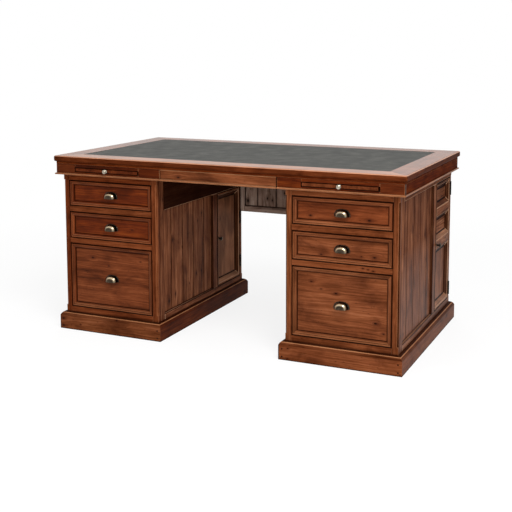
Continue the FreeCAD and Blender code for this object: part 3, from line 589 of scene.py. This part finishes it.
boardGlazeAndShade = {
    # node: {board: painted shade all over it, with some dark glaze}
    "left_kneehole_frame": {0: 0.25, 3: 0.9},
    "right_kneehole_frame": {0: 0.25, 3: 0.9},
    "left_door": {0: 0.75},
    "right_door": {0: 0.5},
    "left_plinth": {1: 0.42},
    "right_plinth": {3: 0.42},
    "frieze_front_left": {k: 0.42 for k in range(4)},
    "frieze_front_right": {k: 0.28 for k in range(4)},
    "left_writing_slide": {0: 0.3},
    "right_writing_slide": {0: 0.2},
}
topWearsAndHighlights = (0.72, 0.28, 0.32, 0.32)  # worn share, also painted highlight, of the top's front, back, left and right boards
shadeRimmedPanels = {"left_door": (8,), "right_door": (10, 15, 20)}  # boards with a painted shadow line round their face
shadeRimWidth = 3.0  # that line's width in mm
panelHighlight = {"left_door": 0.16}  # share of a door panel's face lightened as painted highlight
boardTones = {
    # node: {board: tone from 0 to 1}; the kneehole's side boards and door panel are lifted as painted light, the plinth
    # board facing the kneehole lowered as painted shade
    "modesty_panel": {0: 0.95, 1: 0.95, 2: 0.8, 3: 0.8},
    "left_plinth": {0: 0.8, 1: 0.0},
    "left_door": {8: 1.0},
    "right_door": {k: 0.62 for k in range(21)},
    "left_panel_boards": {k: 0.8 for k in range(8, 13)},
}
boardKnots = {
    # node: {board: knots as (along, across, radius) in mm from the board's middle}
    "centre_drawer_front": {0: [(-178, -7, 4.5)]},
    "left_plinth": {0: [(37, 28, 3.2), (-150, -12, 2.0), (-242, 7.5, 4.6), (-242, -24.5, 4.6)]},
    "right_plinth": {0: [(-216, 12, 2.6), (-218, -30, 2.0), (250, -31, 1.6)]},
    "left_face_frame": {k: [] for k in range(6)},
    "right_face_frame": {k: [(90, 3, 3.0), (111, 0, 2.4), (131, -4, 3.0)] if k == 3 else [] for k in range(6)},
    "frieze_front_left": {0: []},
    "frieze_front_right": {0: [(60, 6, 2.0)]},
    "modesty_panel": {4: [(-79, -19, 7.0)], 5: [(-61, 2.5, 4.6), (-69, 29, 4.6)]},
    "left_panel_boards": {
        8: [(-187, 14, 6.0)], 9: [(81, -36, 5.0), (32, 46, 2.5), (-167, -18, 4.5)], 10: [(-150, 10, 3.0)],
        11: [(126, -5, 3.5), (156, 33, 3.5), (-118, -24, 5.0), (-116, 24, 4.5)], 12: [],
    },
}


friezeEnd = 788.8  # the frieze's front boards carry painted shade beyond this, in mm
# painted shadow lines where boards meet their frames
modestyLines = ((0, -267, False), (0, 267, True), (2, 463, False), (2, 664, True))
sideLines = ((1, -351, False), (2, 105, False))
railEdges = {3: 390.8, 4: 532.8, 5: 672.8}  # lower edges of a face frame's rails
edgeLines = {
    # node: {board: painted shadow lines along its edges}
    "left_face_frame": {1: [(0, -321.4, False)]},
    "right_face_frame": {0: [(0, 742.6, False)]},
    "frieze_front_left": {0: [(0, -friezeEnd, False)]},
    "frieze_front_right": {0: [(0, friezeEnd, True)]},
}
# the face frames' rails take painted shadow under their lower edges, and each plinth along its foot and at its end
for side, end in (("left", -787.0), ("right", 277.0)):
    edgeLines[side + "_face_frame"].update({k: [(2, edge, False)] for k, edge in railEdges.items()})
    edgeLines[side + "_plinth"] = {k: [(2, 3.5, False)] for k in range(4)}
    edgeLines[side + "_plinth"][0].append((0, end, False))


def lineBoards(bm, lines):
    # Painted shadow on a few millimetres beside the frame. Each line: axis, place in mm, shaded beyond it or before it.
    glazeAndShade, lineShade = bm.faces.layers.float["glazeAndShade"], 0.9
    for axis, edge, beyond in lines:
        normal = Vector([1.0 if i == axis else 0.0 for i in range(3)])
        everything = bm.verts[:] + bm.edges[:] + bm.faces[:]
        bmesh.ops.bisect_plane(bm, geom=everything, plane_co=normal * mm(edge), plane_no=normal)
        for f in bm.faces:
            if (f.calc_center_median()[axis] > mm(edge)) == beyond:
                f[glazeAndShade] = lineShade


def dressNode(node, material, bevel, tone, chamferGlazeAndShade, slopeWearAndHighlight):
    rng = random.Random(node)
    solids, places = nodeSolids(node)
    piece = startPiece()
    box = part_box(node)
    door = box if node in ("left_door", "right_door") else None
    recess = box if node.endswith(("_door", "outer_frame", "kneehole_frame")) else None
    for k, loops in enumerate(solids):
        bead = "bead" in node or (node == "centre_drawer_front" and k == 1)
        topWearAndHighlight = topWearsAndHighlights[k] if node == "top_border" else 0.0
        bm = solidMesh(loops, places, 0.0 if bead else bevel, chamferGlazeAndShade, shadedArrisZones.get(node, ()),
                       1.0 if bead else slopeWearAndHighlight, "plinth" in node, door, recess, topWearAndHighlight)
        # painted shade, with some dark glaze, over a whole board that stands in shadow
        wholeGlazeAndShade = boardGlazeAndShade.get(node, {}).get(k, 0.0)
        glazeAndShade = bm.faces.layers.float["glazeAndShade"]
        if node.endswith("_panel_boards") or (node == "modesty_panel" and k > 3):
            lineBoards(bm, modestyLines if node == "modesty_panel" else sideLines)
        lineBoards(bm, edgeLines.get(node, {}).get(k, ()))
        # painted shadow line round a door panel's face
        if k in shadeRimmedPanels.get(node, ()):
            outside = max(v.co.x for v in bm.verts) - mm(0.1)
            face = [f for f in bm.faces if f.calc_center_median().x > outside and f.normal.x > 0.99]
            for f in face:
                f[bm.faces.layers.float["wearAndHighlight"]] = panelHighlight.get(node, 0.0)
            rim = bmesh.ops.inset_region(bm, faces=face, thickness=mm(shadeRimWidth), use_even_offset=True)
            for f in rim["faces"]:
                f[glazeAndShade] = 1.0
        for f in bm.faces:
            f[glazeAndShade] = max(f[glazeAndShade], wholeGlazeAndShade)
        addBoard(piece, bm, rng, None, boardTones.get(node, {}).get(k, tone), boardKnots.get(node, {}).get(k))
        bm.free()
    finishPiece(piece, node, material)


boards = {
    # node: (material, eased edge in mm, tone from 0 red to 1 orange)
    "top_border": (topPine, 0.9, 0.3),
    "top_core": (innerPine, 0.5, 0.4),
    "sub_top": (friezePine, 0.5, 0.2),
    "frieze_front_left": (frontPine, 1.0, 0.0),
    "frieze_front_right": (frontPine, 1.0, 0.0),
    "frieze_surround": (friezePine, 0.6, 0.05),
    "frieze_bead": (frontPine, 0.0, 0.3),
    "centre_drawer_rails": (innerPine, 0.8, 0.3),
    "slide_guides": (innerPine, 0.8, 0.3),
    "modesty_panel": (greyPine, 0.8, 0.5),
    "centre_drawer_front": (frontPine, 2.2, 0.55),
    "centre_drawer_box": (innerPine, 0.8, 0.6),
}
for side, tone in (("left", 0.25), ("right", 0.6)):
    boards.update({
        side + "_plinth": (casePine, 0.8, tone - 0.15),
        side + "_face_frame": (casePine, 0.5, tone + 0.1),
        side + "_outer_frame": (boardPine, 2.2, tone),
        side + "_kneehole_frame": (boardPine, 2.2, tone),
        side + "_back_frame": (boardPine, 0.8, tone),
        side + "_panel_boards": (boardPine, 0.4, tone - 0.1),
        side + "_case_boards": (innerPine, 0.8, 0.3),
        side + "_drawer_runners": (innerPine, 0.8, 0.5),
        side + "_door": (boardPine, 2.4, 0.8),
        side + "_upper_drawer_box": (innerPine, 0.8, 0.6),
        side + "_middle_drawer_box": (innerPine, 0.8, 0.6),
        side + "_file_drawer_box": (innerPine, 0.8, 0.6),
        side + "_writing_slide": (frontPine, 2.6, tone - 0.1),
    })
for node in ("right_outer_frame", "right_panel_boards", "right_door"):
    boards[node] = (sidePine,) + boards[node][1:]
shadedArrisZones = {
    # lowest and highest x, y and z in mm of the arrises that take painted shade
    "frieze_front_left": [(370, 696, -500, 0, 710, 733), (0, 810, -500, 0, 741, 760)],
    "frieze_front_right": [(368, 695, -500, 0, 710, 733), (0, 810, -500, 0, 741, 760)],
    "sub_top": [(0, 810, -500, 500, 740, 760)],
    "centre_drawer_front": [(0, 300, -500, 0, 704, 745)],
    "left_kneehole_frame": [(290, 320, 146, 397, 99, 559), (290, 320, -359, -351, 550, 700),
                            (290, 320, -396, -390, 0, 700), (290, 320, -359, 106, 96, 552)],
    "right_outer_frame": [(740, 775, 146, 397, 99, 669), (740, 775, -396, -390, 0, 700),
                          (740, 775, -359, 106, 96, 660)],
    "top_border": [(0, 708.5, -353.5, 363.5, 770, 785)],
}
for side in ("left", "right"):
    shadedArrisZones[side + "_face_frame"] = [(318, 746, -500, 0, 99, 673)]
    shadedArrisZones[side + "_writing_slide"] = [(0, 800, -500, -400, 700, 740)]
for node, (material, bevel, tone) in boards.items():
    # dark glaze and painted shade in the V-grooves and chamfers of the board panels and the right face frame; a faint
    # painted highlight on the left face frame's chamfers
    glazedAndShaded = 0.9 if "panel" in node else 0.8 if node == "right_face_frame" else 0.0
    dressNode(node, material, bevel, tone, glazedAndShaded, 0.08 if node == "left_face_frame" else 0.0)
print("boards: %d nodes dressed" % len(boards))


def facePlace(origin, normal):
    # Gives a function from (right, up, out) in mm on a vertical face to a point in metres.
    out = Vector(normal)
    right = Vector((0, 0, 1)).cross(out)

    def place(u, v, w):
        return Vector(origin) + right * mm(u) + Vector((0, 0, mm(v))) + out * mm(w)
    return place


def profileMesh(place, ends, profile):
    # One mitred member between two corners. Each profile row: inset, height, glaze with painted shade, and wear with
    # painted highlight, of the next face.
    bm, wearAndHighlight, glazeAndShade = newBoardMesh()
    rows = []
    for (u, v, du, dv) in ends:
        rows.append([bm.verts.new(place(u + du * inset, v + dv * inset, height)) for inset, height, g, w in profile])
    count = len(profile)
    for k in range(count):
        j = (k + 1) % count
        face = bm.faces.new([rows[0][k], rows[1][k], rows[1][j], rows[0][j]])
        face[glazeAndShade], face[wearAndHighlight] = profile[k][2], profile[k][3]
    bm.faces.new(rows[0])
    bm.faces.new(list(reversed(rows[1])))
    bmesh.ops.recalc_face_normals(bm, faces=bm.faces)
    bm.normal_update()
    return bm


def blockMesh(low, high, bevel):
    bm = newBoardMesh()[0]
    corners = [bm.verts.new((x, y, z)) for x in (low[0], high[0]) for y in (low[1], high[1]) for z in (low[2], high[2])]
    for loop in ((0, 1, 3, 2), (4, 6, 7, 5), (0, 4, 5, 1), (2, 3, 7, 6), (0, 2, 6, 4), (1, 5, 7, 3)):
        bm.faces.new([corners[i] for i in loop])
    bmesh.ops.bevel(bm, geom=bm.edges, offset=mm(bevel), segments=2, profile=0.5, affect="EDGES")
    bmesh.ops.recalc_face_normals(bm, faces=bm.faces)
    bm.normal_update()
    return bm


drawerFrontLook = {
    "rise": 10.0, "panelEdge": 0.4,  # the CAD moulding above the panel, and the panel's eased edge, in mm
    # inset from the outer edge, height above the panel, glaze with painted shade, wear with painted highlight
    "moulding": [(0.0, 0.0, 0.9, 0.0), (0.0, 4.6, 0.9, 0.0), (0.9, 7.4, 0.9, 0.0), (2.9, 9.5, 0.0, 0.05),
                 (7.0, 9.5, 0.0, 0.25), (7.7, 9.0, 0.3, 0.0), (8.2, 8.2, 0.35, 0.0), (10.2, 8.0, 0.1, 0.0),
                 (10.9, 8.5, 0.0, 0.3), (12.2, 8.5, 0.0, 0.05), (14.6, 7.2, 0.1, 0.0), (17.0, 4.9, 0.25, 0.0),
                 (18.3, 3.3, 0.5, 0.0), (18.9, 2.6, 1.0, 0.0), (19.3, 0.3, 0.9, 0.0), (22.0, 0.0, 0.0, 0.0)],
    "shadowBand": [(2.9, 9.5, 0.8, 0.0), (4.0, 9.5, 0.0, 0.05)],  # painted shadow along the top and right members
    # painted highlight on the bottom member, which faces up; wear and painted highlight scale by side
    "bottomHighlight": 0.2, "rubbedAndLit": {"left": 1.0, "right": 0.5}, "memberTone": 0.05,
    "panelKnots": {
        "left_file": [(-100, 84, 4.2), (-17, 54, 3.0), (145, 87, 2.2)],
        "left_middle": [(105, -3, 2.6)],
        "left_upper": [(30, 10, 1.6)],
        "right_file": [(-128, 83, 3.2), (-86, 57, 2.4), (-24, 45, 4.4), (140, -57, 5.2), (173, -95, 3.4)],
        "right_middle": [(-87, -30, 3.0), (80, -24, 2.2), (133, -24, 4.4)],
        "right_upper": [(110, -22, 4.8), (-133, -19, 4.4)],
    },
}


def makeDrawerFront(side, level, tone):
    node = "%s_%s_drawer_front" % (side, level)
    low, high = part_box(node)
    rng = random.Random(node)
    look = drawerFrontLook
    face = low.y + mm(look["rise"])
    place = facePlace((0, face, 0), (0, -1, 0))
    u0, u1, v0, v1 = [c * 1000 for c in (low.x, high.x, low.z, high.z)]
    corners = [(u0, v0, 1, 1), (u1, v0, -1, 1), (u1, v1, -1, -1), (u0, v1, 1, -1)]
    piece = startPiece()
    for k in range(4):
        lift = look["bottomHighlight"] if k == 0 else 0.0
        rows = list(look["moulding"])
        # the top and right members take a band of painted shadow
        if k in (1, 2):
            rows[3:4] = look["shadowBand"]
        rubbedAndLit = look["rubbedAndLit"][side] if k else 1.0
        rows = [(inset, height, g, w * rubbedAndLit if g else w * rubbedAndLit + lift) for inset, height, g, w in rows]
        bm = profileMesh(place, (corners[k], corners[(k + 1) % 4]), rows)
        addBoard(piece, bm, rng, "x" if k % 2 == 0 else "z", tone + look["memberTone"], [])
        bm.free()
    panel = blockMesh((low.x, face, low.z), high, look["panelEdge"])
    addBoard(piece, panel, rng, "x", tone, look["panelKnots"][side + "_" + level])
    panel.free()
    finishPiece(piece, node, frontPine, smoothAngle=25.0)


frontTones = {
    "left": {"upper": 0.05, "middle": 0.05, "file": 0.3},
    "right": {"upper": 0.42, "middle": 0.6, "file": 0.7},
}
for side, tones in frontTones.items():
    for level, tone in tones.items():
        makeDrawerFront(side, level, tone)
print("drawer fronts: six")

leatherLook = {
    "edgeRound": 0.9, "edgeBand": 4.5, "cell": 24.0, "puff": 0.25,
    "roll": ((0.35, 0.65), (0.9, 0.25), (0.35, 0.0)),  # each step of the rolled edge, down and outwards
}


def makeLeatherPanel(look):
    # A skin with rolled edges, a trace uneven, in the recess of the top.
    low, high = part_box("leather_panel")
    rng = random.Random("skin")
    bm = bmesh.new()
    wide, deep, middle = high.x - low.x, high.y - low.y, (low.y + high.y) / 2
    columns, rows = int(wide / mm(look["cell"])), int(deep / mm(look["cell"]))
    inset = mm(look["edgeRound"])
    bmesh.ops.create_grid(bm, x_segments=columns, y_segments=rows, size=1.0)
    # this layer paints shadow on the skin's outer rows and rolled edge, where it meets the wood
    glazeAndShade = bm.verts.layers.float.new("glazeAndShade")
    for v in bm.verts:
        inside = min(1 - abs(v.co.x), 1 - abs(v.co.y)) > 1e-6
        for axis, half, count in ((0, wide / 2 - inset, columns), (1, deep / 2 - inset, rows)):
            second = abs(abs(v.co[axis]) - (1 - 2 / count)) < 1e-4
            reach = 1 - mm(look["edgeBand"]) / half if second else abs(v.co[axis])
            v.co[axis] = math.copysign(reach * half, v.co[axis])
        v[glazeAndShade] = 0.0 if inside else 0.9
        v.co.z = high.z - (mm(rng.uniform(0, look["puff"])) if inside else 0)
        v.co.y += middle
    border = [e for e in bm.edges if e.is_boundary]
    for drop, grow in look["roll"]:
        grown = bmesh.ops.extrude_edge_only(bm, edges=border)["geom"]
        for v in (g for g in grown if isinstance(g, bmesh.types.BMVert)):
            v.co.z -= mm(drop)
            v[glazeAndShade] = 1.0
            v.co.x += math.copysign(mm(grow), v.co.x) if abs(v.co.x) > wide / 2 - 2 * inset else 0
            away = v.co.y - middle
            v.co.y += math.copysign(mm(grow), away) if abs(away) > deep / 2 - 2 * inset else 0
        border = [g for g in grown if isinstance(g, bmesh.types.BMEdge)]
    bmesh.ops.recalc_face_normals(bm, faces=bm.faces)
    placePiece(takeMesh(bm, "leatherSkin"), "leather-skin", "leather_panel", leather, smoothAngle=60.0)


makeLeatherPanel(leatherLook)
print("leather: one skin")

cupPullLook = {
    "halfWidth": 27.8, "height": 27.4, "reach": 24.0, "wall": 1.7, "lip": 1.3, "squareness": 2.5,
    # the rubbed band is a painted highlight on the dome's shoulder, with some rubbing; from the dark share on, the
    # dome's sides take painted shade
    "faceFlatness": 4.4, "shoulder": 1.7, "rubbedAndLitBand": (0.76, 0.17), "shadedFrom": (0.85, 0.96),
    "columns": 28, "rows": 12, "endShare": 0.998,  # the dome stops just short of its ends, where it has no height
    "highlightLow": 0.12, "highlightRise": 1.5,  # painted highlight at the bottom, and what the height adds
    # the rolled lip, down and inwards as shares of lip
    "lipSteps": ((-0.15, 0.1), (-0.1, 1.0), (0.9, 1.25)),
    # the flange's section, outwards and forwards, and how much taller than wide it grows
    "flange": ((-1.5, 0.0), (-1.5, 1.6), (5.1, 1.6), (5.75, 1.0), (5.9, 0.0)), "flangeRise": 1.8 / 5.9,
}


def joinRows(bm, rows, closed):
    # Faces between rows of vertices. Closed rows are whole sections, and the first and last are capped.
    count = len(rows[0])
    for first, second in zip(rows, rows[1:]):
        for k in range(count if closed else count - 1):
            j = (k + 1) % count
            bm.faces.new([first[k], first[j], second[j], second[k]])
    if closed:
        bm.faces.new(rows[0])
        bm.faces.new(list(reversed(rows[-1])))
    bmesh.ops.recalc_face_normals(bm, faces=bm.faces)


def makeCupPull(node, look):
    # A cast cup: a hollow dome open at the bottom with a rolled lip, on a flat flange round its arc.
    low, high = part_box(node)
    place = facePlace(((low.x + high.x) / 2, high.y, low.z), (0, -1, 0))
    label, power = node.replace("_", "-"), look["squareness"]

    def radiusShare(u, v):
        # 0 in the middle of the face, 1 at the flange
        return min(1.0, (abs(u / look["halfWidth"]) ** power + (v / look["height"]) ** power) ** (1 / power))

    def standOut(share):
        return look["reach"] * (1 - share ** look["faceFlatness"]) ** (1 / look["shoulder"])

    dome = bmesh.new()
    wearAndHighlight = dome.verts.layers.float.new("wearAndHighlight")
    glazeAndShade = dome.verts.layers.float.new("glazeAndShade")
    band, bandWidth = look["rubbedAndLitBand"]
    darkLow, darkHigh = look["shadedFrom"]
    rows = []
    for i in range(look["columns"] + 1):
        u = -math.cos(math.pi * i / look["columns"]) * look["halfWidth"] * look["endShare"]
        top = look["height"] * (1 - abs(u / look["halfWidth"]) ** power) ** (1 / power)
        line = []
        for j in range(look["rows"] + 1):
            v = top * math.cos(math.pi / 2 * j / look["rows"])
            line.append((u, v, standOut(radiusShare(u, v))))
        out = line[-1][2]
        lip = look["lip"] * out / look["reach"]
        line += [(u, up * lip, out - back * lip) for up, back in look["lipSteps"]]
        row = []
        for spot in line:
            made = dome.verts.new(place(*spot))
            share = radiusShare(u, max(0.0, spot[1]))
            height = max(0.0, spot[1]) / look["height"]
            # painted highlight in a band round the shoulder, stronger higher up; painted shade on the sides
            most = min(1.0, look["highlightLow"] + look["highlightRise"] * height)
            made[wearAndHighlight] = max(0.0, 1 - ((share - band) / bandWidth) ** 2) * most
            made[glazeAndShade] = min(1.0, max(0.0, (share - darkLow) / (darkHigh - darkLow)))
            row.append(made)
        rows.append(row)
    joinRows(dome, rows, False)
    made = placePiece(takeMesh(dome, "cup"), label + "-cup", node, pewter, smoothAngle=60.0)
    wall = made.modifiers.new("wall", "SOLIDIFY")
    wall.thickness = mm(look["wall"])
    wall.offset = -1.0
    smooth = made.modifiers.new("smooth", "SUBSURF")
    smooth.levels = smooth.render_levels = 1

    flange = bmesh.new()
    rings = []
    for i in range(2 * look["columns"] + 1):
        turn = math.pi * i / (2 * look["columns"])
        c, d = math.cos(turn), math.sin(turn)
        along, up = math.copysign(abs(c) ** (2 / power), c), d ** (2 / power)
        ring = []
        for r, w in look["flange"]:
            spot = (along * (look["halfWidth"] + r), up * (look["height"] + look["flangeRise"] * r), w)
            ring.append(flange.verts.new(place(*spot)))
        rings.append(ring)
    joinRows(flange, rings, True)
    # the flange's dark pewter is partly patina, partly painted shadow round the cup
    placePiece(takeMesh(flange, "flange"), label + "-flange", node, darkPewter, smoothAngle=35.0)


for side in ("left", "right"):
    for level in ("upper", "middle", "file"):
        makeCupPull("%s_%s_drawer_pull" % (side, level), cupPullLook)
print("cup pulls: six")

# the slide knobs' lighter pewter is a painted highlight
for node in frame["nodes"]:
    metal = {"pewter": pewter, "black_iron": blackIron}.get(nodeSlot[node])
    metal = darkPewter if node.endswith("door_knob") else brightPewter if node.endswith("slide_knob") else metal
    metal = nailIron if node == "plinth_nails" else metal
    if metal:
        solid = frame["nodes"][node]
        solid.data.materials.clear()
        solid.data.materials.append(metal)
print("metal: pulls, knobs, hinges and nails")


# Floor, light and camera

stageLook = {
    # the floor lies drop mm below the plinths, so that the two faces don't meet
    "floorSize": 60.0, "drop": 0.5, "shadowReach": (1.3, 3.2),
    "floorGlow": 0.83, "floorShade": 0.18, "floorBounce": "#d4d4d4", "skyLight": 0.30, "skyColour": "#ffffff",
}


def shownWhite(tree):
    # 1 where the camera, a reflection or glass sees it
    seen = addNode(tree, "LightPath").outputs
    either = addNode(tree, "Math", maximum, {0: seen["Is Camera Ray"], 1: seen["Is Glossy Ray"]})
    return addNode(tree, "Math", maximum, {0: either, 1: seen["Is Transmission Ray"]})


def makeFloor(look):
    # White for the camera and in reflections, with the desk's soft shadow near it, and a calm grey for bounced light.
    bm = bmesh.new()
    bmesh.ops.create_grid(bm, x_segments=8, y_segments=8, size=look["floorSize"] / 2)
    floor = addObject("floor", takeMesh(bm, "floor"))
    floor.location.z = -mm(look["drop"])
    material, tree, shader = newMaterial("paleFloor")
    tree.nodes.remove(shader)
    place = addNode(tree, "TexCoord").outputs["Object"]
    far = addNode(tree, "VectorMath", {"operation": "LENGTH"}, {0: place})
    fade = addNode(tree, "MapRange", smoothStep, {"Value": far.outputs["Value"], "From": look["shadowReach"]})
    plain = addNode(tree, "BsdfDiffuse", inputs={"Color": look["floorBounce"]})
    shaded = addNode(tree, "BsdfDiffuse", inputs={"Color": [look["floorShade"]] * 3 + [1.0]})
    glow = addNode(tree, "Emission", inputs={"Strength": look["floorGlow"]})
    lifted = addNode(tree, "AddShader", inputs={0: shaded, 1: glow})
    white = addNode(tree, "Emission", inputs={"Strength": 1.0})
    pale = addNode(tree, "MixShader", inputs={0: fade, 1: lifted, 2: white})
    mixed = addNode(tree, "MixShader", inputs={0: shownWhite(tree), 1: plain, 2: pale})
    setInputs(tree.nodes["Material Output"], {"Surface": mixed})
    floor.data.materials.append(material)


def makeSky(look):
    # White where the camera, a reflection or glass sees it, and a plain level of light elsewhere.
    world = bpy.data.worlds.new("studio")
    bpy.context.scene.world = world
    world.use_nodes = True
    tree = world.node_tree
    level = addNode(tree, "MapRange", inputs={"Value": shownWhite(tree), "To": (look["skyLight"], 1.0)})
    setInputs(tree.nodes["Background"], {"Color": look["skyColour"], "Strength": level})


lamps = {
    # azimuth from the front towards the right, elevation, distance in m, size in m, power in W, seen in reflections
    "keyRight": (42, 46, 4.5, 1.8, 118, True),
    "lowRight": (30, 8, 4.6, 2.2, 88, False),
    "lowFront": (16, 5, 4.6, 1.4, 26, False),
    "fillLeft": (-32, 34, 5.0, 2.6, 32, False),
    "rearFill": (200, 36, 5.0, 2.6, 50, False),
    "overhead": (0, 80, 3.6, 2.2, 24, False),
}


def makeLamps():
    target = Vector((0, 0, 0.45))
    for name, (azimuth, elevation, distance, size, power, mirrored) in lamps.items():
        a, e = math.radians(azimuth), math.radians(elevation)
        away = Vector((math.sin(a) * math.cos(e), -math.cos(a) * math.cos(e), math.sin(e)))
        data = bpy.data.lights.new(name, "AREA")
        data.shape = "DISK"
        data.size = size
        data.energy = power
        lamp = addObject(name, data)
        lamp.location = target + away * distance
        lamp.visible_glossy = mirrored
        lamp.rotation_mode = "QUATERNION"
        lamp.rotation_quaternion = away.to_track_quat("Z", "Y")


cameraLook = {
    "place": (1.7374, -3.8276, 1.2699), "yaw": 0.4146, "pitch": 0.1164,
    "focalPixels": 943.3, "framePixels": 512, "shiftX": -0.03, "shiftY": -0.2,
}


def makeCamera(look):
    data = bpy.data.cameras.new("camera")
    data.sensor_width = 36.0
    data.lens = look["focalPixels"] * data.sensor_width / look["framePixels"]
    data.shift_x = look["shiftX"]
    data.shift_y = look["shiftY"]
    camera = addObject("camera", data)
    camera.location = look["place"]
    camera.rotation_euler = (math.pi / 2 - look["pitch"], 0, look["yaw"])
    bpy.context.scene.camera = camera


makeFloor(stageLook)
makeSky(stageLook)
makeLamps()
makeCamera(cameraLook)
bpy.context.scene.view_settings.view_transform = "Standard"
print("stage: floor, sky, lamps and camera")
